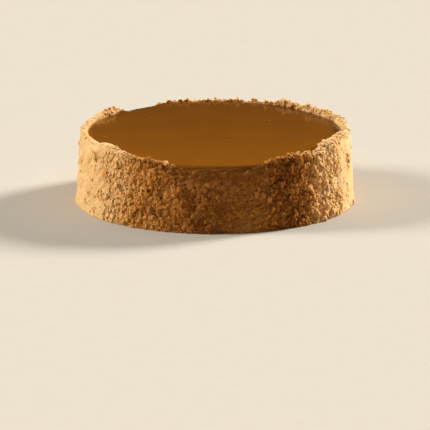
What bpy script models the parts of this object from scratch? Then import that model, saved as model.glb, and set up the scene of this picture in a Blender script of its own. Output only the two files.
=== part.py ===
"""Tres leches cake: a round soaked sponge in a coat of sponge crumbs, with a caramel layer on top.

Metres, +Z up, origin in the middle of the underside, front of the cake towards -Y.

crumbed_cake  the uncut sponge out to the uneven outline of its crumb coat, with a shallow
              round recess on top inside a rim of crumbs
caramel_top   the caramel that fills the recess and runs out over the rim at the front and at
              the back left
"""

import math

import bmesh
import bpy
from mathutils import Vector, noise

# Driving dimensions of the cake
HEIGHT = 0.0560  # underside to the flat top of the caramel
WALL_RADIUS = 0.1098  # the upright side, at the top of its slight taper
WALL_TAPER = 0.0028  # how much wider the side is at its foot
FOOT_FLARE = 0.0009  # crumbs heaped against the foot stand out this much more
FOOT_FLARE_HEIGHT = 0.0080  # the height over which that heap dies away
SHOULDER = 0.0040  # radius of the round between the side and the rim
CARAMEL_DEPTH = 0.0042  # from the recess floor to the top of the caramel
RECESS_RADIUS = 0.1024
RIM_RISE = 0.0025  # the rim's usual height over the caramel
GAP = 0.0003  # between the caramel and the recess
LIP = 0.0019  # radius of the round along the caramel's upper edge
DROOP = 0.0013  # how far the caramel's edge sags where it runs out at the front

# How finely the forms are divided
STEPS = 160  # round the cake
SIDE_ROWS = 12  # up the side
SIDE_CROWDING = 1.15  # above 1, the rows lie closer together near the foot
SHOULDER_ROWS = 3
LIP_ROWS = 3

# Unevenness
RELIEF = 0.0010  # how far a clump of crumbs stands out or in
CLUMP = 0.0100  # usual distance between clumps
SMALL_CLUMP = 0.0035
OUTLINE_WANDER = 0.0012  # how far the caramel's outline strays from a circle
WANDERS = 3.1  # how often it does so, in turns of the noise over the radius of the cake
STRETCH_START = 0.085  # inside this radius the top is even
INNER_RING = 0.6  # the rings that divide the flat faces, as shares of their radius
OUTER_RING = 0.93
FADE_START = 0.65  # a stretch of the rim fades between these, in shares of its half width
FADE_END = 1.35

# The rim's inner slope: how far out from the recess, as a share of the way to the crest, and how
# far under the crest, as a share of the rim's rise
RIM_SLOPE = ((0.45, 0.10), (0.12, 0.55))
WALL_TOP = 0.30  # the recess's wall ends this share of the caramel's depth under its top

FLOOR = HEIGHT - CARAMEL_DEPTH
CREST = HEIGHT + RIM_RISE

# Stretches of the rim that differ from the rest: middle and half width in degrees from +X
# towards +Y, and how much higher the crumbs stand there
RIM_STRETCHES = (
    (28.0, 32.0, 0.0026),  # thick rim at the right and the back right
    (58.0, 4.0, 0.0014),  # one large clump at its end
    (84.0, 20.0, -0.0003),  # thin rim at the back
    (126.0, 10.0, -0.0030),  # no rim at the back left, where the caramel runs out
    (148.0, 9.0, 0.0026),  # a pair of clumps beside that
    (-178.0, 16.0, 0.0008),  # smooth rim on the left
    (-144.0, 7.0, 0.0028),  # a smooth heap left of the front
    (-121.0, 7.0, -0.0010),  # thin crumbs nearer the front
    (-90.0, 22.0, -0.0050),  # no rim at the front, where the caramel runs out
    (-22.0, 13.0, 0.0034),  # broad heap right of the front
)

# Stretches where the edge of the caramel lies further out than the rest, or further in
OUTLINE_STRETCHES = (
    (-96.0, 30.0, 0.0052),
    (80.0, 28.0, 0.0026),
    (124.0, 16.0, 0.0050),
    (-150.0, 12.0, -0.0020),
    (-22.0, 14.0, -0.0042),
)
FRONT_RUN_OUT = OUTLINE_STRETCHES[0]


def wave(angle, middle, half_width):
    """1 at the middle of a stretch, falling smoothly to 0 a little past its ends."""
    away = abs((angle - middle + 180.0) % 360.0 - 180.0) / half_width
    fade = min(max((FADE_END - away) / (FADE_END - FADE_START), 0.0), 1.0)
    return fade * fade * (3.0 - 2.0 * fade)


def rim_height(angle):
    """The height of the crumb rim over the recess floor, at an angle in degrees."""
    extra = sum(rise * wave(angle, middle, half) for middle, half, rise in RIM_STRETCHES)
    return CARAMEL_DEPTH + RIM_RISE + extra


def outline_shift(angle):
    """How far the edge between caramel and rim lies outside the nominal circle."""
    around = Vector((math.cos(math.radians(angle)), math.sin(math.radians(angle)), 0.0))
    wander = OUTLINE_WANDER * noise.noise(around * WANDERS)
    return wander + sum(out * wave(angle, middle, half) for middle, half, out in OUTLINE_STRETCHES)


def stretched(radius, angle):
    """A radius on the top after the outline's shift, which leaves the middle and the side alone."""
    shift = outline_shift(angle)
    if radius <= RECESS_RADIUS:
        share = max(radius - STRETCH_START, 0.0) / (RECESS_RADIUS - STRETCH_START)
    else:
        share = max(WALL_RADIUS - radius, 0.0) / (WALL_RADIUS - RECESS_RADIUS)
    return radius + shift * share


def crumb_relief(point):
    """How far the crumb coat stands out or in at a point of its surface."""
    return RELIEF * (noise.noise(point / CLUMP) + noise.noise(point / SMALL_CLUMP))


def side_radius(height):
    """The radius of the upright side at a height."""
    taper = WALL_TAPER * (1.0 - height / HEIGHT)
    return WALL_RADIUS + taper + FOOT_FLARE * math.exp(-height / FOOT_FLARE_HEIGHT)


def quarter_round(radius, height, size, rows):
    """Points of a convex quarter round that ends at the given radius and height."""
    points = []
    for row in range(rows + 1):
        turn = 0.5 * math.pi * row / rows
        points.append((radius + size * math.cos(turn), height - size * (1.0 - math.sin(turn))))
    return points


def cake_profile():
    """Radius and height of the cake's outline, from the middle of the underside to the recess."""
    side_top = CREST - SHOULDER
    side = [side_top * (row / SIDE_ROWS) ** SIDE_CROWDING for row in range(SIDE_ROWS)]
    crest_radius = WALL_RADIUS - SHOULDER
    rim_width = crest_radius - RECESS_RADIUS
    return (
        [(0.0, 0.0), (INNER_RING * WALL_RADIUS, 0.0)]
        + [(side_radius(height), height) for height in side]
        + quarter_round(crest_radius, CREST, SHOULDER, SHOULDER_ROWS)
        + [(RECESS_RADIUS + out * rim_width, CREST - down * RIM_RISE) for out, down in RIM_SLOPE]
        + [
            (RECESS_RADIUS, HEIGHT - WALL_TOP * CARAMEL_DEPTH),
            (RECESS_RADIUS, FLOOR),
            (INNER_RING * RECESS_RADIUS, FLOOR),
            (0.0, FLOOR),
        ]
    )


def caramel_profile():
    """Radius and height of the caramel's outline, from the middle of its underside to its top."""
    edge = RECESS_RADIUS - GAP
    return [
        (0.0, FLOOR + GAP),
        (INNER_RING * edge, FLOOR + GAP),
        (edge, FLOOR + GAP),
        *quarter_round(edge - LIP, HEIGHT, LIP, LIP_ROWS),
        (OUTER_RING * edge, HEIGHT),
        (STRETCH_START, HEIGHT),
        (INNER_RING * edge, HEIGHT),
        (0.0, HEIGHT),
    ]


def turned(profile):
    """A closed bmesh made by turning a profile, from axis to axis, about Z."""
    bm = bmesh.new()
    verts = [bm.verts.new((radius, 0.0, height)) for radius, height in profile]
    edges = [bm.edges.new(pair) for pair in zip(verts, verts[1:])]
    bmesh.ops.spin(
        bm,
        geom=verts + edges,
        axis=(0.0, 0.0, 1.0),
        cent=(0.0, 0.0, 0.0),
        steps=STEPS,
        angle=2.0 * math.pi,
        use_merge=True,
    )
    bmesh.ops.remove_doubles(bm, verts=bm.verts, dist=1e-6)
    bmesh.ops.recalc_face_normals(bm, faces=bm.faces)
    return bm


def polar(vert):
    """A vertex's distance from the axis, and its angle in degrees."""
    return math.hypot(vert.co.x, vert.co.y), math.degrees(math.atan2(vert.co.y, vert.co.x))


def place(vert, radius, angle, height):
    turn = math.radians(angle)
    vert.co = (radius * math.cos(turn), radius * math.sin(turn), height)


def shape_cake(bm):
    """Gives the turned cake its uneven rim and the clumps of its crumb coat."""
    rim_width = WALL_RADIUS - RECESS_RADIUS
    for vert in bm.verts:
        radius, angle = polar(vert)
        height = vert.co.z
        in_coat = min(max((radius - RECESS_RADIUS) / (0.5 * rim_width), 0.0), 1.0)
        relief = crumb_relief(vert.co) * in_coat
        if height > FLOOR:
            share_of_rim = (height - FLOOR) / (CREST - FLOOR)
            height = FLOOR + (rim_height(angle) + relief) * share_of_rim
        place(vert, stretched(radius, angle) + relief, angle, height)


def shape_caramel(bm):
    """Spreads the caramel to its outline, and lets it droop where it runs out at the front."""
    middle, half_width, _ = FRONT_RUN_OUT
    for vert in bm.verts:
        radius, angle = polar(vert)
        height = vert.co.z
        outer = max(radius - STRETCH_START, 0.0) / (RECESS_RADIUS - STRETCH_START)
        share_of_depth = (height - FLOOR - GAP) / (CARAMEL_DEPTH - GAP)
        droop = DROOP * wave(angle, middle, half_width) * outer**2 * share_of_depth
        place(vert, stretched(radius, angle), angle, height - droop)


def material(name, colour, roughness):
    made = bpy.data.materials.new(name)
    made.use_nodes = True
    shader = made.node_tree.nodes["Principled BSDF"]
    shader.inputs["Base Color"].default_value = (*colour, 1.0)
    shader.inputs["Roughness"].default_value = roughness
    shader.inputs["Metallic"].default_value = 0.0
    return made


def add_object(name, bm, made):
    mesh = bpy.data.meshes.new(name)
    bm.to_mesh(mesh)
    bm.free()
    mesh.materials.append(made)
    mesh.shade_smooth()
    mesh.set_sharp_from_angle(angle=math.radians(40.0))
    piece = bpy.data.objects.new(name, mesh)
    bpy.context.collection.objects.link(piece)
    return piece


def make_crumbed_cake():
    bm = turned(cake_profile())
    shape_cake(bm)
    add_object("crumbed_cake", bm, material("golden_sponge_crumbs", (0.61, 0.37, 0.16), 0.85))


def make_caramel_top():
    bm = turned(caramel_profile())
    shape_caramel(bm)
    add_object("caramel_top", bm, material("set_milk_caramel", (0.26, 0.09, 0.013), 0.25))


for old in list(bpy.data.objects):
    bpy.data.objects.remove(old, do_unlink=True)
make_crumbed_cake()
make_caramel_top()
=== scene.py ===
import math

import bmesh
import bpy
import numpy as np
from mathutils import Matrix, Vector, noise
from mathutils.bvhtree import BVHTree


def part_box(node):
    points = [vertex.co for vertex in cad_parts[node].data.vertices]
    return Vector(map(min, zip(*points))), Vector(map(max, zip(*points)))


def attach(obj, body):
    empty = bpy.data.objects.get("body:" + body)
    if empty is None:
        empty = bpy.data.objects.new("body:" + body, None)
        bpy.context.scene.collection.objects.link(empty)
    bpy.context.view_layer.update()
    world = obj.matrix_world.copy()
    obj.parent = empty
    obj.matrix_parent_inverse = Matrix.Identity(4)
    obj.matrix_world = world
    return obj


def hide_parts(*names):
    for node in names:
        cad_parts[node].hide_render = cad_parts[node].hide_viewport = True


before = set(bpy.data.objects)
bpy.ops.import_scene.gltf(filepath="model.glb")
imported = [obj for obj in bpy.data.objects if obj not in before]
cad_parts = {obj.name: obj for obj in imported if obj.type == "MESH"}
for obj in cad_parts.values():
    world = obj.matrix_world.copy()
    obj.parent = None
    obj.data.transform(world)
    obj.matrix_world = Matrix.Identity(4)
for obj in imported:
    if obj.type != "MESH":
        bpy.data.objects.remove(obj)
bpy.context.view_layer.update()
MM = 0.001
UP = Vector((0.0, 0.0, 1.0))
noise.seed_set(7)  # noise_vector starts from a random place unless it is given one


# ------------------------------------------------------------------------------------------------
# The packed crumb coat
#
# The sponge's side and rim are covered with crumbs rubbed from sponge trimmings and pressed on by
# hand, so that they pack into a rough skin with gaps between the grains. This piece is that skin
# as one closed shell, with the flat underside of the sponge. Grains finer than rice are its relief.
# ------------------------------------------------------------------------------------------------
COLUMNS = 1000  # round the cake, 0.7 mm each
ROWS = 93  # from the foot up the side and over the rim, 0.75 mm each
TUCK = 2.5 * MM  # how far the coat runs in under the caramel
OVERLAP = 2.4 * MM  # how far the caramel reaches in among the crumbs of the rim
SINK = 0.6 * MM  # the skin lies this far inside the outline, which the loose crumbs fill

# The relief: how wide its forms are, and how high.
HEAP, HEAP_HEIGHT = 7.5 * MM, 1.4 * MM  # only where the coat is loosest
LUMP, LUMP_HEIGHT = 6.5 * MM, 2.1 * MM
GRAIN, GRAIN_HEIGHT = 3.0 * MM, 1.0 * MM
FINE_GRAIN, FINE_GRAIN_HEIGHT = 1.6 * MM, 0.5 * MM
HAND_PRINTS, HAND_PRINT_HEIGHT = 16.0 * MM, 0.6 * MM  # where a palm has pressed more or less
BENDS, BEND_SHIFT = 2.0 * MM, 0.7 * MM  # the grains' outlines wave, and stray this far
GRAIN_REACH = 0.8  # from a grain's middle to where its dome ends, as a share of its width
CRACK_WIDTH = 0.30  # of the crack round it, as a share of the same
LOOSE_FROM, LOOSE_RANGE = 0.9, 0.4  # the roughness where heaps set in, and how much more it takes
HEAP_NARROWING = 0.6  # heaps are taller than they are wide
LUMP_STRETCH = 0.25  # and the lumps in them are this much taller
FOOT_FADE, FOOT_RELIEF = 1.5 * MM, 0.35  # near the underside the relief falls to this share
SETTLED = 0.8  # how much flatter crumbs lie that are full of caramel
RIM_HEIGHT = 4.0 * MM  # the part of the coat that lies lower where the rim drops

# Small gaps are left where a crumb is missing, sunk in and painted dark as painted shade.
GAP_SPACING = 4.2 * MM
GAP_PATCH = 2.6 * GAP_SPACING
GAP_RADIUS = 1.3 * MM
LEAST_GAP = 0.08  # of the spacing; a smaller gap is filled
GAP_DEPTH = 2.4 * MM
GRAIN_SEED, GAP_SEED = 31.7, 53.1  # they tell a grain's own number from a gap's

# The tone of a crumb: 0 is brown crust and 1 is the pale inside of the sponge.
PACKED_TONE, TONE_RANGE = 0.42, 0.4
BROAD_PATCH, BROAD_PATCH_TONE = 22.0 * MM, 0.13
SMALL_PATCH, SMALL_PATCH_TONE = 8.0 * MM, 0.08
CRACK_PAINTED_SHADE = 0.6  # painted shade: how much darker the grain is painted in the cracks
GAP_PAINTED_SHADE = 0.9  # painted shade: and how much darker in the gaps

# How the caramel soaks into the coat.
WET_OVER, WET_UNDER = 0.5 * MM, 3.0 * MM  # it touches crumbs this far over its top and under it
SOAK_PATCH, SOAK_WANDER = 7.0 * MM, 0.8  # how wide the soaked edge's waves are, and how deep
SOAK_END = 1.2  # where the crumbs are dry, in shares of the soaked depth

# The coat by angle in degrees from +X towards +Y: how rough it is, how brown its crumbs are, how
# far caramel has soaked into it, how wide the caramel thins out over it, and how far its rim lies
# under the beads of crumbs on it. How brown the crumbs are is partly painted shade and painted
# light: they are painted browner in the middle of the front, which lies in shade, and paler at the
# left and the right of the front, where the side lights fall. It is patted smooth and pale at the
# left and the right, loose and coarse at the right of the front, and moist in the middle of the
# front. At the back and at the heap right of the front the rim is hardly more than its beads.
STATIONS = (
    (0.0, 0.16, -0.06, 1.2 * MM, 1.5 * MM, 0.0 * MM),
    (30.0, 0.40, -0.06, 1.2 * MM, 1.2 * MM, 0.2 * MM),
    (54.0, 0.80, -0.06, 1.0 * MM, 1.0 * MM, 1.6 * MM),
    (62.0, 0.90, -0.06, 0.8 * MM, 1.0 * MM, 1.6 * MM),
    (120.0, 0.80, -0.06, 0.8 * MM, 1.0 * MM, 1.3 * MM),
    (138.0, 0.50, -0.06, 0.8 * MM, 1.5 * MM, 0.5 * MM),
    (150.0, 0.30, -0.06, 1.0 * MM, 1.8 * MM, 0.0 * MM),
    (180.0, 0.10, 0.03, 1.5 * MM, 3.5 * MM, 0.0 * MM),
    (213.0, 0.14, -0.08, 1.6 * MM, 6.0 * MM, 0.0 * MM),
    (219.0, 0.65, -0.16, 1.8 * MM, 7.0 * MM, 0.0 * MM),
    (225.0, 0.80, -0.10, 2.8 * MM, 8.0 * MM, 0.2 * MM),
    (234.0, 0.75, 0.08, 4.0 * MM, 8.0 * MM, 0.3 * MM),
    (248.0, 0.70, 0.27, 4.6 * MM, 7.0 * MM, 0.6 * MM),
    (260.0, 0.50, 0.43, 11.0 * MM, 5.0 * MM, 0.9 * MM),
    (282.0, 0.60, 0.38, 11.0 * MM, 2.0 * MM, 0.9 * MM),
    (291.0, 0.95, 0.30, 7.5 * MM, 4.0 * MM, 0.8 * MM),
    (298.0, 1.30, 0.40, 4.0 * MM, 5.0 * MM, 0.6 * MM),
    (304.0, 1.45, 0.46, 3.0 * MM, 4.0 * MM, 0.4 * MM),
    (312.0, 1.55, 0.16, 2.0 * MM, 1.2 * MM, 0.0 * MM),
    (319.0, 1.45, -0.26, 2.0 * MM, 1.2 * MM, 0.0 * MM),
    (325.0, 1.10, -0.24, 1.5 * MM, 1.2 * MM, 0.9 * MM),
    (331.0, 0.50, -0.20, 1.2 * MM, 1.2 * MM, 1.3 * MM),
    (340.0, 0.16, -0.14, 1.2 * MM, 1.2 * MM, 1.3 * MM),
    (360.0, 0.16, -0.06, 1.2 * MM, 1.5 * MM, 0.0 * MM),
)

# The coat's map, in shares of its width and height: strips of the side, one over the other, and
# beside them the flat ends.
MAP_STRIPS = 4
MAP_MARGIN = 0.01
STRIP_WIDTH = 0.63
UNDERSIDE_ON_MAP = (0.82, 0.25)
TOP_END_ON_MAP = (0.82, 0.75)
LID_SIZE = 0.33

RAY_START = 50.0 * MM  # rays start this far out from what they aim at
WELL_INSIDE = 90.0 * MM  # a radius inside the coat and inside the caramel's edge
UNDER_RIM = 2.0 * MM  # the side is measured this far under the caramel
EDGE_HEIGHT = 0.5 * MM  # and the caramel's edge this far over its underside
LOWEST_RAY = 0.2 * MM  # the first row is measured here, so that its ray meets the side
EDGE_ROOM = 0.1 * MM  # the coat has no relief under the caramel, and this far outside its edge

caramel_low, caramel_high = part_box("caramel_top")


def solid_of(node):
    """The frame's solid for a node, ready to be met by rays."""
    bm = bmesh.new()
    bm.from_mesh(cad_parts[node].data)
    tree = BVHTree.FromBMesh(bm)
    bm.free()
    return tree


def around(angle, radius, height):
    return Vector((radius * math.cos(angle), radius * math.sin(angle), height))


def held(value):
    """The value, or 0 or 1 where it lies past them."""
    return min(max(value, 0.0), 1.0)


def met_from_outside(solid, aim, outward):
    """Where a ray from outside towards a point first meets the solid, and the normal there."""
    place, normal, _, _ = solid.ray_cast(aim + RAY_START * outward, -outward)
    return place, normal


def station_at(angle):
    """What STATIONS say of the coat at an angle in radians, between one station and the next."""
    degrees = math.degrees(angle) % 360.0
    for (start, *low), (end, *high) in zip(STATIONS, STATIONS[1:]):
        if degrees <= end:
            share = (degrees - start) / (end - start)
            return [a + (b - a) * share for a, b in zip(low, high)]
    return STATIONS[-1][1:]


cake_solid = solid_of("crumbed_cake")
caramel_solid = solid_of("caramel_top")

# What the coat follows at each column: the radius of the side just under the rim, the radius of
# the caramel's edge, and the height of the rim's crest halfway between the two.
column_angles = [2.0 * math.pi * column / COLUMNS for column in range(COLUMNS)]
walls, edges, crests = [], [], []
for angle in column_angles:
    outward = around(angle, 1.0, 0.0)
    aim = around(angle, WELL_INSIDE, caramel_low.z - UNDER_RIM)
    walls.append(met_from_outside(cake_solid, aim, outward)[0].to_2d().length)
    aim = around(angle, WELL_INSIDE, caramel_low.z + EDGE_HEIGHT)
    edges.append(met_from_outside(caramel_solid, aim, outward)[0].to_2d().length)
    aim = around(angle, 0.5 * (walls[-1] + edges[-1]), caramel_low.z)
    crests.append(met_from_outside(cake_solid, aim, UP)[0].z)
stations = [station_at(angle) for angle in column_angles]
roughness, painted_shade_and_brownness, soak_depths, thinnings, rim_drops = zip(*stations)


def rim_bend(column):
    """The radius of the bend from the side over to the top of the rim."""
    return 0.5 * (walls[column] - edges[column])


def coat_length(column):
    """How long the coat's outline is at a column, from the foot to its end under the caramel."""
    bend = rim_bend(column)
    return crests[column] - bend + 0.5 * math.pi * bend + bend + TUCK


def coat_ray(column, climb):
    """Aim and outward direction of the ray that meets the coat this far along its outline."""
    angle = column_angles[column]
    bend = rim_bend(column)
    side = crests[column] - bend
    over_bend = climb - side - 0.5 * math.pi * bend
    inner = walls[column] - bend
    if climb < side:
        return around(angle, inner, max(climb, LOWEST_RAY)), around(angle, 1.0, 0.0)
    if over_bend < 0.0:
        tilt = (climb - side) / bend
        return around(angle, inner, side), around(angle, math.cos(tilt), math.sin(tilt))
    return around(angle, inner - over_bend, side), UP


def own_number(middle, seed):
    """A number from 0 to 1 that belongs to the grain or gap with this middle."""
    return abs(noise.cell(middle * seed))


def grains(place, size):
    """Packed grains of about this size: their height, from 0 in the cracks to 1 on top of the
    highest, and a number from 0 to 1 for each grain."""
    (nearest, second, _, _), (middle, _, _, _) = noise.voronoi(place / size)
    dome = max(1.0 - (nearest / GRAIN_REACH) ** 2, 0.0)
    crack = min((second - nearest) / CRACK_WIDTH, 1.0)
    own = own_number(middle, GRAIN_SEED)
    return (0.45 * dome + 0.55 * crack) * (0.4 + 0.6 * own), own


def gap(place, rough):
    """The small gaps between crumbs: 1 in the middle of a gap, 0 outside. They come in patches,
    more of them in a rough coat."""
    (nearest, _, _, _), (middle, _, _, _) = noise.voronoi(place / GAP_SPACING)
    patchy = 0.75 + 1.5 * noise.noise(place / GAP_PATCH) + 0.15 * rough
    radius = GAP_RADIUS / GAP_SPACING * (0.4 + 0.6 * own_number(middle, GAP_SEED))
    radius *= min(patchy, 1.0)
    return max(1.0 - (nearest / radius) ** 4, 0.0) if radius > LEAST_GAP else 0.0


def patch_tone(place):
    """How much paler or browner the crumbs of a patch are than the rest."""
    broad = BROAD_PATCH_TONE * noise.noise(place / BROAD_PATCH)
    return broad + SMALL_PATCH_TONE * noise.noise(place / SMALL_PATCH)


def coat_relief(place, rough):
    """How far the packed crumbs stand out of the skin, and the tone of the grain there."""
    drawn_up = held((rough - LOOSE_FROM) / LOOSE_RANGE)
    heap = noise.noise(Vector((place.x, place.y, HEAP_NARROWING * place.z)) / HEAP)
    squeezed = Vector((place.x, place.y, place.z * (1.0 - LUMP_STRETCH * drawn_up)))
    bent = squeezed + BEND_SHIFT * noise.noise_vector(squeezed / BENDS)
    lump, lump_tone = grains(bent, LUMP)
    coarse, coarse_tone = grains(bent, GRAIN)
    fine, fine_tone = grains(bent, FINE_GRAIN)
    hollow = gap(bent, rough)
    height = LUMP_HEIGHT * (lump - 0.5) + GRAIN_HEIGHT * (coarse - 0.5)
    height += HEAP_HEIGHT * drawn_up * heap
    height += FINE_GRAIN_HEIGHT * (fine - 0.5)
    height = rough * height - GAP_DEPTH * hollow
    height += HAND_PRINT_HEIGHT * noise.noise(place / HAND_PRINTS)
    # The tones of the grains differ less where they are rubbed together smooth.
    tone = 0.3 * lump_tone + 0.4 * coarse_tone + 0.3 * fine_tone
    tone = 0.5 + (tone - 0.5) * min(0.45 + 0.7 * rough, 1.0)
    # The tone is painted darker in the cracks and the gaps, as painted shade.
    return height, tone - CRACK_PAINTED_SHADE * rough * (1.0 - coarse) - GAP_PAINTED_SHADE * hollow


def soaked(column, place):
    """How much caramel the crumbs have drunk at a place: 1 at the caramel's edge, 0 further out."""
    reach = soak_depths[column] * (1.0 + SOAK_WANDER * noise.noise(place / SOAK_PATCH))
    outside = max(place.to_2d().length - edges[column] - OVERLAP, 0.0)
    over = max(place.z - caramel_high.z - WET_OVER, 0.0)
    below = max(caramel_high.z - WET_UNDER - place.z, 0.0)
    return held(SOAK_END - math.hypot(outside, over + below) / reach)


def link_new(piece):
    bpy.context.collection.objects.link(piece)
    return piece


def mesh_object(name, bm, materials):
    """Turns a bmesh into a smooth-shaded object at the origin and frees the bmesh."""
    mesh = bpy.data.meshes.new(name)
    bm.to_mesh(mesh)
    bm.free()
    for material in materials:
        mesh.materials.append(material)
    mesh.shade_smooth()
    return link_new(bpy.data.objects.new(name, mesh))


def linear(hex_colour):
    """An sRGB hex colour as the linear red, green, blue and alpha that a shader reads."""
    parts = [int(hex_colour[at : at + 2], 16) / 255.0 for at in (1, 3, 5)]
    return [p / 12.92 if p <= 0.04045 else ((p + 0.055) / 1.055) ** 2.4 for p in parts] + [1.0]


def add_node(tree, kind, inputs, **settings):
    """Adds a node with its settings. inputs gives each socket a value, or an output to link to."""
    made = tree.nodes.new(kind)
    for name, value in settings.items():
        setattr(made, name, value)
    for socket, value in inputs.items():
        if isinstance(value, bpy.types.NodeSocket):
            tree.links.new(value, made.inputs[socket])
        else:
            made.inputs[socket].default_value = value
    return made


def set_stops(ramp_node, stops):
    """Gives a colour ramp its stops: (place along the ramp, hex colour)."""
    ramp = ramp_node.color_ramp
    while len(ramp.elements) < len(stops):
        ramp.elements.new(1.0)
    for element, (place, hex_colour) in zip(ramp.elements, stops):
        element.position = place
        element.color = linear(hex_colour)


def new_material(name):
    """An empty node material: itself, its tree, its Principled shader and Object coordinates."""
    material = bpy.data.materials.new(name)
    material.use_nodes = True
    tree = material.node_tree
    place = add_node(tree, "ShaderNodeTexCoord", {}).outputs["Object"]
    return material, tree, tree.nodes["Principled BSDF"], place


def sponge_crumb_material(name, light_depth, stops):
    """Dry crumbs of vanilla sponge: matt, porous, pale gold inside with browner bits of crust.

    Each grain has its own tone, kept in the mesh as the attribute "tone", which also carries
    painted shade and painted light. "soak" is 1 where the crumbs have drunk caramel, which darkens
    them and gives them a little gloss. light_depth is how far light spreads inside the porous
    sponge, which softens its grain and warms its shadows, and stops are its colours from the
    brownest tone to the palest.
    """
    material, tree, shader, place = new_material(name)
    tone = add_node(tree, "ShaderNodeAttribute", {}, attribute_name="tone").outputs["Fac"]
    soak = add_node(tree, "ShaderNodeAttribute", {}, attribute_name="soak").outputs["Fac"]
    # Blotches a few millimetres wide, inside a grain and across its neighbours.
    blotch = add_node(
        tree,
        "ShaderNodeTexNoise",
        {"Vector": place, "Scale": 1.0 / (2.2 * MM), "Detail": 4.0, "Roughness": 0.6},
    ).outputs["Fac"]
    mixed = add_node(
        tree,
        "ShaderNodeMapRange",
        {"Value": blotch, "From Min": 0.25, "From Max": 0.75, "To Min": -0.1, "To Max": 0.1},
    ).outputs["Result"]
    tone = add_node(tree, "ShaderNodeMath", {0: tone, 1: mixed}, operation="ADD").outputs[0]
    colour = add_node(tree, "ShaderNodeValToRGB", {"Fac": tone})
    set_stops(colour, stops)
    # Fine crumbs about 1 mm wide, pressed together, with the torn edges of the sponge's pores.
    bent = add_node(
        tree, "ShaderNodeTexNoise", {"Vector": place, "Scale": 1.0 / (0.9 * MM), "Detail": 2.0}
    ).outputs["Color"]
    bend = add_node(
        tree,
        "ShaderNodeVectorMath",
        {0: bent, 1: (0.5, 0.5, 0.5)},
        operation="SUBTRACT",
    ).outputs[0]
    torn_place = add_node(
        tree,
        "ShaderNodeVectorMath",
        {0: bend, 1: (0.8 * MM, 0.8 * MM, 0.8 * MM), 2: place},
        operation="MULTIPLY_ADD",
    ).outputs[0]
    crumb_cell = add_node(
        tree,
        "ShaderNodeTexVoronoi",
        {"Vector": torn_place, "Scale": 1.0 / (1.2 * MM), "Randomness": 1.0},
    ).outputs["Distance"]
    crack = add_node(
        tree,
        "ShaderNodeMapRange",
        {"Value": crumb_cell, "From Min": 0.75, "From Max": 0.25, "To Min": 0.0, "To Max": 1.0},
    ).outputs["Result"]
    # The pores of the sponge itself, about half a millimetre wide.
    pores = add_node(
        tree,
        "ShaderNodeTexNoise",
        {"Vector": place, "Scale": 1.0 / (0.55 * MM), "Detail": 2.0, "Roughness": 0.6},
    ).outputs["Fac"]
    pitted = add_node(
        tree,
        "ShaderNodeMapRange",
        {"Value": pores, "From Min": 0.36, "From Max": 0.56, "To Min": 0.25, "To Max": 1.0},
    ).outputs["Result"]
    grain = add_node(
        tree, "ShaderNodeMath", {0: crack, 1: pitted}, operation="MULTIPLY"
    ).outputs[0]
    # Cracks and pores are painted a little darker, as painted shade. A Mix of colours has them in
    # inputs 6 and 7.
    painted_pore_shade = add_node(
        tree,
        "ShaderNodeMix",
        {"Factor": grain, 6: linear("#F0DDBE"), 7: linear("#FFFFFF")},
        data_type="RGBA",
    ).outputs[2]
    dry = add_node(
        tree,
        "ShaderNodeMix",
        {"Factor": 1.0, 6: colour.outputs["Color"], 7: painted_pore_shade},
        data_type="RGBA",
        blend_type="MULTIPLY",
    ).outputs[2]
    # Caramel fills the pores, so soaked crumbs take its colour and shine a little.
    wet = add_node(
        tree, "ShaderNodeMix", {"Factor": 0.85, 6: dry, 7: linear("#865013")}, data_type="RGBA"
    ).outputs[2]
    surface = add_node(
        tree, "ShaderNodeMix", {"Factor": soak, 6: dry, 7: wet}, data_type="RGBA"
    ).outputs[2]
    dullness = add_node(
        tree, "ShaderNodeMapRange", {"Value": soak, "To Min": 0.88, "To Max": 0.45}
    ).outputs["Result"]
    bump = add_node(
        tree,
        "ShaderNodeBump",
        {"Height": grain, "Strength": 0.8, "Distance": 0.4 * MM},
    ).outputs["Normal"]
    tree.links.new(surface, shader.inputs["Base Color"])
    tree.links.new(dullness, shader.inputs["Roughness"])
    tree.links.new(bump, shader.inputs["Normal"])
    shader.inputs["IOR"].default_value = 1.40
    shader.inputs["Specular IOR Level"].default_value = 0.1
    shader.inputs["Subsurface Weight"].default_value = 0.9
    shader.inputs["Subsurface Radius"].default_value = (1.0, 1.0, 1.0)
    shader.inputs["Subsurface Scale"].default_value = light_depth
    return material


def sponge_base_material():
    """The underside of the sponge: baked on paper, so flat, fine-pored and evenly golden brown."""
    material, tree, shader, place = new_material("baked_sponge_base")
    patches = add_node(
        tree, "ShaderNodeTexNoise", {"Vector": place, "Scale": 1.0 / (18.0 * MM), "Detail": 6.0}
    ).outputs["Fac"]
    colour = add_node(tree, "ShaderNodeValToRGB", {"Fac": patches})
    set_stops(colour, [(0.3, "#B27E45"), (0.55, "#C89A5E"), (0.75, "#D8B07A")])
    pores = add_node(
        tree, "ShaderNodeTexVoronoi", {"Vector": place, "Scale": 1.0 / (1.6 * MM)}
    ).outputs["Distance"]
    bump = add_node(
        tree, "ShaderNodeBump", {"Height": pores, "Strength": 0.6, "Distance": 0.4 * MM}
    ).outputs["Normal"]
    tree.links.new(colour.outputs["Color"], shader.inputs["Base Color"])
    tree.links.new(bump, shader.inputs["Normal"])
    shader.inputs["Roughness"].default_value = 0.8
    return material


def close_ring(bm):
    """Joins the seam of a sheet rolled into a ring, closes both its ends and turns it outwards.
    The seam lies on +X. The result is the faces of the two ends."""
    seam = [vert for vert in bm.verts if abs(vert.co.y) < 0.01 * MM and vert.co.x > 0.0]
    bmesh.ops.remove_doubles(bm, verts=seam, dist=0.001 * MM)
    open_ends = [edge for edge in bm.edges if edge.is_boundary]
    lids = bmesh.ops.holes_fill(bm, edges=open_ends, sides=0)["faces"]
    fans = bmesh.ops.poke(bm, faces=lids)["faces"]
    bmesh.ops.recalc_face_normals(bm, faces=bm.faces)
    return fans


def on_underside(face):
    return face.calc_center_median().z < 1.0 * MM


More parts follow.
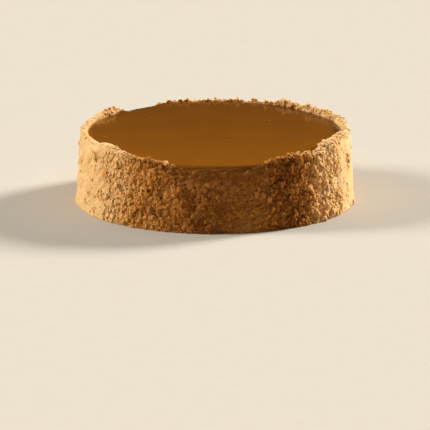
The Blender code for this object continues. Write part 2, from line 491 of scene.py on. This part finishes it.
def lay_out_coat(bm, lids):
    """Cuts the coat's map into strips one over the other, with its two flat ends beside them."""
    on_map = bm.loops.layers.uv["OFBake"]
    width = 2.0 * max(walls)
    for face in bm.faces:
        start = min(loop[on_map].uv.x for loop in face.loops)
        strip = min(int(MAP_STRIPS * (start + 0.5 / COLUMNS)), MAP_STRIPS - 1)
        for loop in face.loops:
            along, up = loop[on_map].uv
            up = MAP_MARGIN + (1.0 - 2.0 * MAP_MARGIN) * up
            along = MAP_MARGIN + MAP_STRIPS * along - strip
            loop[on_map].uv = (STRIP_WIDTH * along, (strip + up) / MAP_STRIPS)
    for face in lids:
        middle = Vector(UNDERSIDE_ON_MAP if on_underside(face) else TOP_END_ON_MAP)
        for loop in face.loops:
            loop[on_map].uv = middle + LID_SIZE * loop.vert.co.to_2d() / width


def make_packed_coat():
    """A sheet rolled into a ring, laid on the frame's solid and pressed into grains."""
    bm = bmesh.new()
    bm.loops.layers.uv.new("OFBake")
    bmesh.ops.create_grid(bm, x_segments=COLUMNS, y_segments=ROWS, size=1.0, calc_uvs=True)
    tones = bm.verts.layers.float.new("tone")
    soaks = bm.verts.layers.float.new("soak")
    for vert in bm.verts:
        column = round(0.5 * (vert.co.x + 1.0) * COLUMNS) % COLUMNS
        row = round(0.5 * (vert.co.y + 1.0) * ROWS)
        climb = coat_length(column) * row / ROWS
        aim, outward = coat_ray(column, climb)
        place, _ = met_from_outside(cake_solid, aim, outward)
        relief, tone = coat_relief(place, roughness[column])
        under_caramel = outward.z == 1.0 and place.to_2d().length < edges[column] + EDGE_ROOM
        soak = soaked(column, place)
        if not under_caramel:
            fade = FOOT_RELIEF + (1.0 - FOOT_RELIEF) * min(climb / FOOT_FADE, 1.0)
            fade *= 1.0 - SETTLED * soak
            place += outward * (relief * fade - SINK)
            near_crest = (place.z - crests[column] + RIM_HEIGHT) / RIM_HEIGHT
            place.z -= rim_drops[column] * held(near_crest)
        if row == 0:
            place.z = 0.0
        # The tone takes the painted shade and painted light of STATIONS as well as the crumbs'
        # brownness.
        vert[tones] = PACKED_TONE + TONE_RANGE * tone + patch_tone(place) - painted_shade_and_brownness[column]
        vert[soaks] = soak
        vert.co = place
    lids = close_ring(bm)
    for face in lids:
        face.material_index = int(on_underside(face))
    lay_out_coat(bm, lids)
    return bm


packed_material = sponge_crumb_material(
    "packed_sponge_crumbs",
    1.5 * MM,
    [(0.0, "#915B28"), (0.35, "#C78E4C"), (0.6, "#E6BB82"), (1.0, "#F1D5A5")],
)
coat_bm = make_packed_coat()
coat_skin = BVHTree.FromBMesh(coat_bm)
coat = mesh_object("packed_crumb_coat", coat_bm, [packed_material, sponge_base_material()])
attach(coat, "root")
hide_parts("crumbed_cake")


# ------------------------------------------------------------------------------------------------
# Loose crumbs on the side
#
# Over the packed skin lie the larger crumbs, broken from dry sponge: lumps with flat broken faces
# and thin flakes. They are pressed on, more than half sunk, the flakes mostly upright. Each kind
# is one mesh of many crumbs.
# ------------------------------------------------------------------------------------------------
rng = np.random.default_rng(90210)
loose_material = sponge_crumb_material(
    "loose_sponge_crumbs",
    0.2 * MM,
    [(0.0, "#8E551E"), (0.35, "#C6883D"), (0.6, "#E6B470"), (1.0, "#F2D09A")],
)
SHAPES = 20  # different crumbs of each kind
BREAKS, BREAK_AT, FLATTENED = 3, 0.38, 0.7  # flat faces of a crumb about 1 across, and how flat
PATCH = 11.0 * MM  # loose crumbs lie in patches about this wide where the coat is smooth
PATCHY = 0.7  # how much the patches matter against the coat's roughness
TRIES = 12  # for each spot, before the coat is taken to be full
SMALLER_FIRST = 1.6  # above 1, small crumbs are more common than large ones
LIP_ROOM = 3.5 * MM  # kept free of loose crumbs under the caramel where it runs out
FILLED_GAP = 0.1  # no crumb lies on a gap deeper than this
LARGE = 3.0 * MM
DROWNED, LARGE_DROWNED = 0.6, 0.85  # crumbs and large crumbs more soaked are part of the skin
SOAK_TAKEN = 0.6  # soak is taken this share of a crumb's width outside the skin
PROPORTIONS = (0.75, 1.25)  # each crumb's own, as shares of its kind's
PATTED_IN = 0.22  # how much deeper crumbs sit where the coat is smooth
SUNK_SPREAD = 0.12
FACING_OUT = 0.75  # how much a crumb faces straight out, and not as the grains under it do
LEAN = 0.22  # how much crumbs lean where the coat is rough
UPRIGHT_SPREAD = 0.35
TONE_SPREAD = 0.05
UNDERSIDE_PAINTED_SHADE = 0.7  # painted shade: how much darker a crumb is painted on its buried underside than on its outer face
MAP_ROOM = 1.1  # the room that a crumb has on the map, in shares of its width


def crumb_shapes(kind, rounds, lumpiness):
    """Crumbs about 1 across: balls pushed out of shape, with flat faces where they broke off and
    one flat face outwards, where they were pressed. No two kinds have the same shapes. rounds is
    how finely they are divided."""
    shapes, faces = [], []
    for number in range(SHAPES):
        bm = bmesh.new()
        bmesh.ops.create_icosphere(bm, subdivisions=rounds, radius=0.5)
        own = Vector((3.1 * number, 17.0 * kind, 5.3))
        cuts = [Vector(rng.normal(size=3)).normalized() for _ in range(BREAKS)] + [UP]
        for vert in bm.verts:
            swell = noise.noise(vert.co * 2.3 + own) + 0.5 * noise.noise(vert.co * 5.1 + own)
            vert.co *= 1.0 + lumpiness * swell
            for cut in cuts:
                beyond = vert.co.dot(cut) - BREAK_AT
                if beyond > 0.0:
                    vert.co -= cut * beyond * FLATTENED
        shapes.append([tuple(vert.co) for vert in bm.verts])
        faces = [[vert.index for vert in face.verts] for face in bm.faces]
        bm.free()
    return np.array(shapes), np.array(faces)


def crumb_width(smallest, largest):
    return smallest + (largest - smallest) * rng.random() ** SMALLER_FIRST


def spread_spots(count, low_climb, high_climb, apart, smallest, largest, least_rough):
    """Up to this many spots on the coat as (column, climb, width), at least this far apart. They
    keep to the rough parts of the coat and to patches of the rest."""
    taken, spots = {}, []
    reach = 2.0 * math.pi * walls[0]
    for _ in range(TRIES * count):
        if len(spots) == count:
            break
        along, climb = rng.uniform(0.0, reach), rng.uniform(low_climb, high_climb)
        column = int(along / reach * COLUMNS) % COLUMNS
        patch = noise.noise(around(column_angles[column], walls[column], climb) / PATCH)
        if PATCHY * patch > roughness[column] - least_rough:
            continue
        if crests[column] < caramel_high.z and climb > crests[column] - LIP_ROOM:
            continue
        cell = (int(along / apart), int(climb / apart))
        near = [
            other
            for step in (-1, 0, 1)
            for rise in (-1, 0, 1)
            for other in taken.get((cell[0] + step, cell[1] + rise), ())
        ]
        if all(math.hypot(along - x, climb - y) >= apart for x, y in near):
            taken.setdefault(cell, []).append((along, climb))
            spots.append((column, climb, crumb_width(smallest, largest)))
    return spots


def joined_crumbs(name, shapes, faces, places, turns, sizes, tones, soaks):
    """One mesh of many crumbs, each a shape that is scaled, turned and put in its place."""
    count, points = len(places), shapes.shape[1]
    chosen = shapes[rng.integers(0, len(shapes), count)]
    moved = np.einsum("nij,npj->npi", turns, chosen * sizes[:, None, :]) + places[:, None, :]
    moved[:, :, 2] = np.maximum(moved[:, :, 2], 0.0)
    numbered = faces[None] + (np.arange(count) * points)[:, None, None]
    mesh = bpy.data.meshes.new(name)
    mesh.from_pydata(moved.reshape(-1, 3), [], numbered.reshape(-1, faces.shape[1]).tolist())
    # Each crumb's underside, below its middle, is painted darker as painted shade.
    buried = np.clip(0.1 - chosen[:, :, 2], 0.0, 0.5)
    for attribute, values in (
        ("tone", tones[:, None] - UNDERSIDE_PAINTED_SHADE * buried),
        ("soak", np.repeat(soaks, points)),
    ):
        layer = mesh.attributes.new(attribute, "FLOAT", "POINT")
        layer.data.foreach_set("value", values.ravel().astype(np.float32))
    # Each crumb has a small square of the map to itself, half of it for the side that is buried.
    across = math.ceil(math.sqrt(count))
    cells = np.stack([np.arange(count) % across, np.arange(count) // across], 1)
    corners = chosen[:, faces]
    spread = corners[..., :2] / (2.0 * MAP_ROOM * np.abs(chosen[:, :, :2]).max()) + 0.5
    inner = corners[..., 2].mean(axis=2, keepdims=True) < 0.0
    spread[..., 0] = 0.5 * (spread[..., 0] + inner)
    on_map = (cells[:, None, None, :] + spread) / across
    mesh.uv_layers.new(name="OFBake").uv.foreach_set("vector", on_map.astype(np.float32).ravel())
    mesh.materials.append(loose_material)
    mesh.shade_smooth()
    piece = link_new(bpy.data.objects.new(name, mesh))
    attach(piece, "root")
    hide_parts("crumbed_cake")


def turned_onto(normal, upright, lean):
    """Three axes for a crumb: its flat way along the normal, its long way up if it is upright."""
    up = UP if upright else Vector(rng.normal(size=3))
    out = (normal + lean * Vector(rng.normal(size=3))).normalized()
    up = (up + UPRIGHT_SPREAD * Vector(rng.normal(size=3))).normalized()
    side = up.cross(out).normalized()
    return np.array((side, out.cross(side), out)).T


def crumbs_on_coat(
    name, kind, spots, form, rounds=2, lumpiness=1.0, sunk=0.5, upright=False, tone=0.57, wet=1.0
):
    """Crumbs of one kind at spots on the coat. form is their proportions across, along and out of
    the coat, sunk how deep they sit in it, as a share of their thickness, tone how pale they are
    and wet how readily they drink caramel."""
    shapes, faces = crumb_shapes(kind, rounds, lumpiness)
    places, turns, sizes, tones, soaks = [], [], [], [], []
    for column, climb, width in spots:
        aim, outward = coat_ray(column, climb)
        place, normal = met_from_outside(coat_skin, aim, outward)
        packed, _ = met_from_outside(cake_solid, aim, outward)
        if place is None or gap(packed, roughness[column]) > FILLED_GAP:
            continue
        soak = wet * soaked(column, place + outward * SOAK_TAKEN * width)
        if soak > (DROWNED if width < LARGE else LARGE_DROWNED):
            continue
        proportions = np.array(form) * rng.uniform(*PROPORTIONS, 3)
        buried = sunk + PATTED_IN * (1.0 - roughness[column])
        buried += rng.uniform(-SUNK_SPREAD, SUNK_SPREAD)
        out = normal.lerp(outward, FACING_OUT).normalized()
        places.append(place + out * width * proportions[2] * (0.5 - buried))
        turns.append(turned_onto(out, upright, LEAN * roughness[column]))
        sizes.append(width * proportions)
        # The tone takes the painted shade and painted light of STATIONS as well as the crumbs'
        # brownness.
        own_tone = rng.normal(tone, TONE_SPREAD) + patch_tone(place) - painted_shade_and_brownness[column]
        tones.append(held(own_tone))
        soaks.append(soak)
    joined_crumbs(name, shapes, faces, *map(np.array, (places, turns, sizes, tones, soaks)))


# The spots of each kind: how many at most, from how far up the side to how far, how far apart, the
# smallest and the largest width, and how rough the coat has to be.
SIDE_TOP = 57.0 * MM
flakes = spread_spots(200, 4.0 * MM, 52.0 * MM, 5.0 * MM, 3.4 * MM, 5.6 * MM, 0.9)
crumbs_on_coat("upright_flakes", 1, flakes, (0.75, 1.0, 0.4), lumpiness=0.7, upright=True)
lumps = spread_spots(320, 4.0 * MM, SIDE_TOP, 5.0 * MM, 4.0 * MM, 6.6 * MM, 0.6)
crumbs_on_coat("broken_lumps", 7, lumps, (0.9, 1.05, 0.6), rounds=3, sunk=0.42, upright=True)
coarse = spread_spots(700, 2.0 * MM, SIDE_TOP, 3.6 * MM, 2.8 * MM, 4.2 * MM, 0.45)
crumbs_on_coat("coarse_crumbs", 2, coarse, (1.0, 1.0, 0.65), sunk=0.4)
middling = spread_spots(2000, 1.5 * MM, SIDE_TOP, 2.6 * MM, 1.9 * MM, 2.9 * MM, 0.45)
crumbs_on_coat("middling_crumbs", 3, middling, (1.0, 1.0, 0.7), sunk=0.45)
small = spread_spots(7000, 1.0 * MM, SIDE_TOP, 1.6 * MM, 1.3 * MM, 2.0 * MM, 0.5)
crumbs_on_coat("small_crumbs", 4, small, (1.0, 1.0, 0.8), rounds=1, sunk=0.5)
fine = spread_spots(7000, 0.8 * MM, SIDE_TOP, 1.1 * MM, 0.8 * MM, 1.3 * MM, 0.4)
crumbs_on_coat("fine_crumbs", 5, fine, (1.0, 1.0, 0.9), rounds=1, sunk=0.5)


# ------------------------------------------------------------------------------------------------
# Crumbs on the rim
#
# The coat rises over the caramel as an uneven rim. It is heaped from the right of the front round
# to the back right, a broken line of single beads at the back, and missing at the front and the
# back left, where the caramel runs out over it.
# ------------------------------------------------------------------------------------------------
# The larger beads and lumps, one by one: angle in degrees from +X towards +Y, and width.
RIM_BEADS = (
    (28.0, 5.0 * MM),
    (36.0, 4.6 * MM),
    (44.0, 5.0 * MM),
    (50.5, 4.6 * MM),
    (57.2, 5.8 * MM),
    (59.4, 4.6 * MM),
    (61.5, 4.0 * MM),
    (64.6, 3.6 * MM),
    (66.8, 3.8 * MM),
    (70.5, 2.4 * MM),
    (74.0, 2.6 * MM),
    (76.2, 2.8 * MM),
    (78.2, 3.4 * MM),
    (80.0, 3.8 * MM),
    (83.2, 3.8 * MM),
    (85.2, 4.4 * MM),
    (88.4, 2.8 * MM),
    (90.0, 2.4 * MM),
    (92.8, 3.0 * MM),
    (94.6, 3.4 * MM),
    (96.8, 2.8 * MM),
    (102.2, 3.6 * MM),
    (103.4, 2.8 * MM),
    (105.4, 3.6 * MM),
    (110.8, 4.8 * MM),
    (115.2, 3.0 * MM),
    (118.6, 3.4 * MM),
    (120.6, 2.2 * MM),
    (134.8, 2.4 * MM),
    (137.9, 2.8 * MM),
    (141.5, 3.2 * MM),
    (145.0, 3.6 * MM),
    (148.5, 3.2 * MM),
    (249.0, 4.4 * MM),
    (251.5, 4.0 * MM),
    (292.0, 2.4 * MM),
    (294.5, 2.6 * MM),
    (298.0, 2.8 * MM),
    (303.5, 3.0 * MM),
    (306.0, 3.0 * MM),
    (309.0, 3.4 * MM),
    (325.6, 4.4 * MM),
    (328.2, 4.8 * MM),
    (333.0, 4.8 * MM),
    (339.0, 4.8 * MM),
    (345.0, 4.4 * MM),
)
# The small crumbs around them: where a stretch starts and ends, how many lie on each degree, and
# the widths of the smallest and the largest.
RIM_STRETCHES = (
    (-10.0, 20.0, 2.0, 1.2 * MM, 2.8 * MM),
    (20.0, 54.0, 5.0, 1.4 * MM, 3.6 * MM),
    (54.0, 61.0, 6.0, 1.4 * MM, 3.8 * MM),
    (61.0, 98.0, 3.0, 1.0 * MM, 2.2 * MM),
    (101.0, 106.5, 3.0, 1.0 * MM, 2.2 * MM),
    (109.0, 121.0, 1.5, 1.0 * MM, 2.0 * MM),
    (139.0, 152.0, 2.5, 1.2 * MM, 2.6 * MM),
    (154.0, 200.0, 1.0, 1.0 * MM, 2.2 * MM),
    (200.0, 218.0, 0.6, 0.8 * MM, 1.6 * MM),
    (218.0, 254.0, 4.0, 1.0 * MM, 2.6 * MM),
    (286.0, 300.0, 1.2, 1.0 * MM, 2.0 * MM),
    (300.0, 326.0, 4.0, 1.2 * MM, 3.0 * MM),
    (326.0, 350.0, 7.0, 1.4 * MM, 3.6 * MM),
)
CREST_PLACE = 0.66  # how far over the rim its beads sit
RIM_FORM = (1.0, 0.85, 0.9)  # proportions of its crumbs


def column_at(degrees):
    return round(degrees / 360.0 * COLUMNS) % COLUMNS


def rim_spot(degrees, over, width):
    """A spot over the rim: over is 0 at the top of the side, 1 at the caramel's edge."""
    column = column_at(degrees)
    bend = rim_bend(column)
    return column, crests[column] - bend + (0.5 * math.pi + 1.0) * bend * over, width


# The beads and the rim crumbs are painted paler than the crumbs of the side, as painted light where
# the lights from behind catch the rim.
beads = [rim_spot(degrees, CREST_PLACE, width) for degrees, width in RIM_BEADS]
crumbs_on_coat(
    "rim_beads", 8, beads, RIM_FORM, rounds=3, lumpiness=0.8, sunk=0.15, tone=0.9, wet=0.1
)
rim_spots = []
for start, end, density, smallest, largest in RIM_STRETCHES:
    for _ in range(round((end - start) * density)):
        width = crumb_width(smallest, largest)
        rim_spots.append(rim_spot(rng.uniform(start, end), rng.beta(2.0, 1.3), width))
crumbs_on_coat("rim_crumbs", 6, rim_spots, RIM_FORM, sunk=0.35, tone=0.8, wet=0.2)


# ------------------------------------------------------------------------------------------------
# Single lumps, and crumbs that came loose
#
# Left of the middle of the front a few crumbs stick together in a ring, with a larger one below
# it, and right of the middle sits one large round crumb. Crumbs that fell from the coat lie against
# its foot, and a few on the caramel.
# ------------------------------------------------------------------------------------------------
# Angle in degrees, height on the side, and width.
LARGE_LUMPS = ((303.0, 47.5 * MM, 7.0 * MM), (243.0, 38.0 * MM, 5.0 * MM))
RING_ANGLE, RING_HEIGHT, RING_RADIUS = 250.0, 49.5 * MM, 3.0 * MM
RING_CRUMBS, RING_WIDTHS = 7, (2.8, 3.8)  # widths in mm
FALLEN = ((10.9, -19.2), (44.1, 35.7), (-88.7, -19.2), (-52.0, 46.0))  # x and y in mm
FALLEN_WIDTH = 1.1 * MM
FALLEN_RISE = 0.4 * MM  # of their middles over the caramel, in which they have sunk a little
FALLEN_TONE, FALLEN_SOAK = 0.3, 0.2

single_lumps = [(column_at(degrees), height, width) for degrees, height, width in LARGE_LUMPS]
for number in range(RING_CRUMBS):
    turn = 2.0 * math.pi * number / RING_CRUMBS
    across = math.degrees(RING_RADIUS * math.cos(turn) / walls[0])
    height = RING_HEIGHT + RING_RADIUS * math.sin(turn)
    width = rng.uniform(*RING_WIDTHS) * MM
    single_lumps.append((column_at(RING_ANGLE + across), height, width))
lump_form = (0.85, 1.0, 0.7)
crumbs_on_coat(
    "single_lumps", 9, single_lumps, lump_form, rounds=3, lumpiness=0.7, sunk=0.35, upright=True
)

foot = spread_spots(260, 0.3 * MM, 1.6 * MM, 1.6 * MM, 0.8 * MM, 2.2 * MM, 0.5)
crumbs_on_coat("crumbs_at_the_foot", 10, foot, (1.0, 1.0, 0.9), sunk=0.35)

shapes, faces = crumb_shapes(11, rounds=2, lumpiness=1.0)
joined_crumbs(
    "crumbs_on_the_caramel",
    shapes,
    faces,
    np.array([(x * MM, y * MM, caramel_high.z + FALLEN_RISE) for x, y in FALLEN]),
    np.array([turned_onto(UP, upright=False, lean=0.2) for _ in FALLEN]),
    np.full((len(FALLEN), 3), FALLEN_WIDTH),
    np.full(len(FALLEN), FALLEN_TONE),
    np.full(len(FALLEN), FALLEN_SOAK),
)


# ------------------------------------------------------------------------------------------------
# The caramel
#
# Milk caramel poured warm into the crumb rim, where it set to a smooth layer about 4 mm deep with
# a soft gloss. It creeps up to the crumbs all round, and rolls out over the edge in a lip at the
# front and at the back left.
# ------------------------------------------------------------------------------------------------
CARAMEL_COLUMNS = 500
UNDER_ROWS = 3  # rows in from the edge under the layer
LIP_ROWS = 9  # rows round the edge
TOP_ROWS = 36  # rows from the edge to the middle
UNDERSIDE_GAP = 0.1 * MM
LIP, FREE_LIP = 1.4 * MM, 1.6 * MM  # radius round the edge, and how much more where it runs out
DROOP = 1.1 * MM  # how far the edge sinks where it runs out
DROOP_REACH = 0.15  # and from where on, as a share of the way to the middle
THICK_LIP = 0.8  # there it is thick up to its edge, so that hardly any crumbs show through
# It starts to run out where the rim is only this much higher, and does so freely where the rim is
# lower than that by so much.
FREE_OVER, FREE_RANGE = 0.4 * MM, 1.4 * MM
EDGE_WANDER, EDGE_WAVES = 0.6 * MM, 11.0  # the edge strays this far, and so often in a radian
EDGE_RADIUS = 100.0 * MM  # of the layer, about
SWELL, SWELL_WIDTH = 0.25 * MM, 28.0 * MM  # the top isn't quite level


def caramel_material():
    """Set milk caramel: dense, amber brown, with a soft gloss and a faint cloudiness."""
    material, tree, shader, place = new_material("set_milk_caramel")
    cloud = add_node(
        tree,
        "ShaderNodeTexNoise",
        {"Vector": place, "Scale": 1.0 / (45.0 * MM), "Detail": 3.0, "Roughness": 0.5},
    ).outputs["Fac"]
    # It is painted darker at the back and lighter and more golden towards the front, as painted
    # light.
    painted_front_light = add_node(tree, "ShaderNodeAttribute", {}, attribute_name="painted_front_light").outputs["Fac"]
    clouding = add_node(
        tree,
        "ShaderNodeMapRange",
        {"Value": cloud, "From Min": 0.25, "From Max": 0.75, "To Min": -0.15, "To Max": 0.15},
    ).outputs["Result"]
    cloud_and_front_light = add_node(tree, "ShaderNodeMath", {0: painted_front_light, 1: clouding}, operation="ADD")
    deep = add_node(tree, "ShaderNodeValToRGB", {"Fac": cloud_and_front_light.outputs[0]})
    set_stops(deep, [(0.0, "#623607"), (0.5, "#6F3F08"), (1.0, "#7A4608")])
    # It thins out towards its edge, where the pale crumbs show through.
    thin = add_node(tree, "ShaderNodeAttribute", {}, attribute_name="thin").outputs["Fac"]
    over_crumbs = add_node(tree, "ShaderNodeValToRGB", {"Fac": thin})
    set_stops(over_crumbs, [(0.0, "#774309"), (0.5, "#92550F"), (1.0, "#BA803D")])
    veiled = add_node(
        tree, "ShaderNodeMapRange", {"Value": thin, "From Max": 0.5}
    ).outputs["Result"]
    colour = add_node(
        tree,
        "ShaderNodeMix",
        {"Factor": veiled, 6: deep.outputs["Color"], 7: over_crumbs.outputs["Color"]},
        data_type="RGBA",
    ).outputs[2]
    tree.links.new(colour, shader.inputs["Base Color"])
    gloss = add_node(
        tree,
        "ShaderNodeMapRange",
        {"Value": cloud, "From Min": 0.3, "From Max": 0.7, "To Min": 0.13, "To Max": 0.16},
    ).outputs["Result"]
    tree.links.new(gloss, shader.inputs["Roughness"])
    skin = add_node(
        tree, "ShaderNodeTexNoise", {"Vector": place, "Scale": 1.0 / (6.0 * MM), "Detail": 2.0}
    ).outputs["Fac"]
    bump = add_node(
        tree, "ShaderNodeBump", {"Height": skin, "Strength": 0.1, "Distance": 0.2 * MM}
    ).outputs["Normal"]
    tree.links.new(bump, shader.inputs["Normal"])
    shader.inputs["IOR"].default_value = 1.45
    shader.inputs["Specular IOR Level"].default_value = 0.12
    return material


def runs_out(column):
    """1 where the rim lies so low that the caramel runs out over it, 0 where the rim holds it."""
    return held((caramel_high.z + FREE_OVER - crests[column]) / FREE_RANGE)


def caramel_point(row, column):
    """Radius and height of the layer's outline at a row, from under its edge to its middle."""
    free = runs_out(column)
    edge = edges[column] + OVERLAP * (1.0 - free) + rim_bend(column) * free
    lip = LIP + FREE_LIP * free
    droop = DROOP * free
    if row < UNDER_ROWS:
        return edge - lip * (UNDER_ROWS - row) / 2.0, caramel_low.z + UNDERSIDE_GAP
    if row <= UNDER_ROWS + LIP_ROWS:
        turn = 0.5 * math.pi * (row - UNDER_ROWS) / LIP_ROWS
        height = caramel_high.z - droop - lip * (1.0 - math.sin(turn))
        return edge - lip * (1.0 - math.cos(turn)), height
    inward = (row - UNDER_ROWS - LIP_ROWS) / TOP_ROWS
    sag = droop * max(1.0 - inward / DROOP_REACH, 0.0) ** 2
    return (edge - lip) * (1.0 - inward), caramel_high.z - sag


def make_caramel():
    """A sheet rolled into a ring, from under the layer's edge over its lip to its middle."""
    rows = UNDER_ROWS + LIP_ROWS + TOP_ROWS
    bm = bmesh.new()
    bmesh.ops.create_grid(bm, x_segments=CARAMEL_COLUMNS, y_segments=rows, size=1.0)
    thins = bm.verts.layers.float.new("thin")
    painted_front_lights = bm.verts.layers.float.new("painted_front_light")
    for vert in bm.verts:
        turn = round(0.5 * (vert.co.x + 1.0) * CARAMEL_COLUMNS) % CARAMEL_COLUMNS
        row = round(0.5 * (vert.co.y + 1.0) * rows)
        column = turn * COLUMNS // CARAMEL_COLUMNS
        radius, height = caramel_point(row, column)
        from_edge = max(edges[column] + OVERLAP - radius, 0.0)
        thin = max(1.0 - from_edge / (OVERLAP + thinnings[column]), 0.0)
        vert[thins] = thin * (1.0 - THICK_LIP * runs_out(column))
        angle = 2.0 * math.pi * turn / CARAMEL_COLUMNS
        if row > UNDER_ROWS:
            stray = EDGE_WANDER * noise.noise(around(angle, 1.0, 0.0) * EDGE_WAVES)
            radius += stray * radius / EDGE_RADIUS
            height += SWELL * noise.noise(around(angle, radius, 0.0) / SWELL_WIDTH)
        vert.co = around(angle, radius, height)
        # Painted light: this makes the caramel lighter and more golden towards the front.
        vert[painted_front_lights] = held(0.5 - vert.co.y / (2.0 * caramel_high.x))
    middle = [vert for vert in bm.verts if vert.co.to_2d().length < 0.01 * MM]
    bmesh.ops.remove_doubles(bm, verts=middle, dist=0.1 * MM)
    close_ring(bm)
    return bm


caramel = mesh_object("caramel_layer", make_caramel(), [caramel_material()])
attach(caramel, "root")
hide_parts("caramel_top")


# ------------------------------------------------------------------------------------------------
# The studio
#
# A pale paper floor, a large soft light at each side, a very wide one above and a trace of light
# from the front.
# ------------------------------------------------------------------------------------------------
FLOOR_RADIUS = 9.0
MOTTLES = 60.0  # in a metre

# Matt paper has no shine. Its fibres are far too fine to show, so only its faint mottle is drawn.
floor_bm = bmesh.new()
bmesh.ops.create_circle(floor_bm, cap_ends=True, segments=64, radius=FLOOR_RADIUS)
floor_material, floor_tree, floor_shader, floor_place = new_material("matt_pale_paper")
floor_mottle = add_node(
    floor_tree, "ShaderNodeTexNoise", {"Vector": floor_place, "Scale": MOTTLES, "Detail": 4.0}
).outputs["Fac"]
floor_colour = add_node(floor_tree, "ShaderNodeValToRGB", {"Fac": floor_mottle})
set_stops(floor_colour, [(0.3, "#BDB4A4"), (0.7, "#BFB6A6")])
floor_tree.links.new(floor_colour.outputs["Color"], floor_shader.inputs["Base Color"])
floor_shader.inputs["Roughness"].default_value = 1.0
floor_shader.inputs["Specular IOR Level"].default_value = 0.0
floor = mesh_object("floor", floor_bm, [floor_material])


def soft_light(name, azimuth, elevation, spread, strength):
    """A far, large light at an angle from +X towards +Y and a height angle. spread is how many
    degrees across it looks from the cake."""
    data = bpy.data.lights.new(name, "SUN")
    data.angle = math.radians(spread)
    data.energy = strength
    light = link_new(bpy.data.objects.new(name, data))
    turn, rise = math.radians(azimuth), math.radians(elevation)
    away = around(turn, math.cos(rise), math.sin(rise))
    light.location = away
    light.rotation_euler = away.to_track_quat("Z", "Y").to_euler()


soft_light("left_light", azimuth=180.0, elevation=28.0, spread=20.0, strength=3.35)
soft_light("right_light", azimuth=32.0, elevation=26.0, spread=15.0, strength=5.6)
soft_light("top_light", azimuth=-90.0, elevation=82.0, spread=90.0, strength=1.05)
soft_light("front_light", azimuth=-90.0, elevation=35.0, spread=50.0, strength=0.03)

# The room is dim, but the camera sees a pale wall that goes over into the floor.
world = bpy.data.worlds.new("dim_studio")
world.use_nodes = True
room = world.node_tree.nodes["Background"]
room.inputs["Color"].default_value = linear("#FFE2BC")
room.inputs["Strength"].default_value = 0.04
wall = add_node(
    world.node_tree, "ShaderNodeBackground", {"Color": linear("#ECE1CD"), "Strength": 1.0}
)
seen = add_node(world.node_tree, "ShaderNodeLightPath", {}).outputs["Is Camera Ray"]
both = add_node(
    world.node_tree, "ShaderNodeMixShader", {0: seen, 1: room.outputs[0], 2: wall.outputs[0]}
)
world.node_tree.links.new(both.outputs[0], world.node_tree.nodes["World Output"].inputs[0])
bpy.context.scene.world = world
bpy.context.scene.view_settings.view_transform = "Standard"

# The camera looks down on the cake by 14.5 degrees through a long lens.
CAMERA_TILT = math.radians(14.5)
CAMERA_DISTANCE = 5.0
CAMERA_LENS = 516.0  # in millimetres, for a sensor 36 mm wide
AIM_HEIGHT = -13.4 * MM  # the cake stands a little over the middle of the frame

camera_data = bpy.data.cameras.new("camera")
camera_data.sensor_width = 36.0
camera_data.lens = CAMERA_LENS
camera = link_new(bpy.data.objects.new("camera", camera_data))
camera_aim = Vector((0.0, 0.0, AIM_HEIGHT))
camera_back = Vector((0.0, -math.cos(CAMERA_TILT), math.sin(CAMERA_TILT)))
camera.location = camera_aim + CAMERA_DISTANCE * camera_back
camera.rotation_euler = camera_back.to_track_quat("Z", "Y").to_euler()
bpy.context.scene.camera = camera
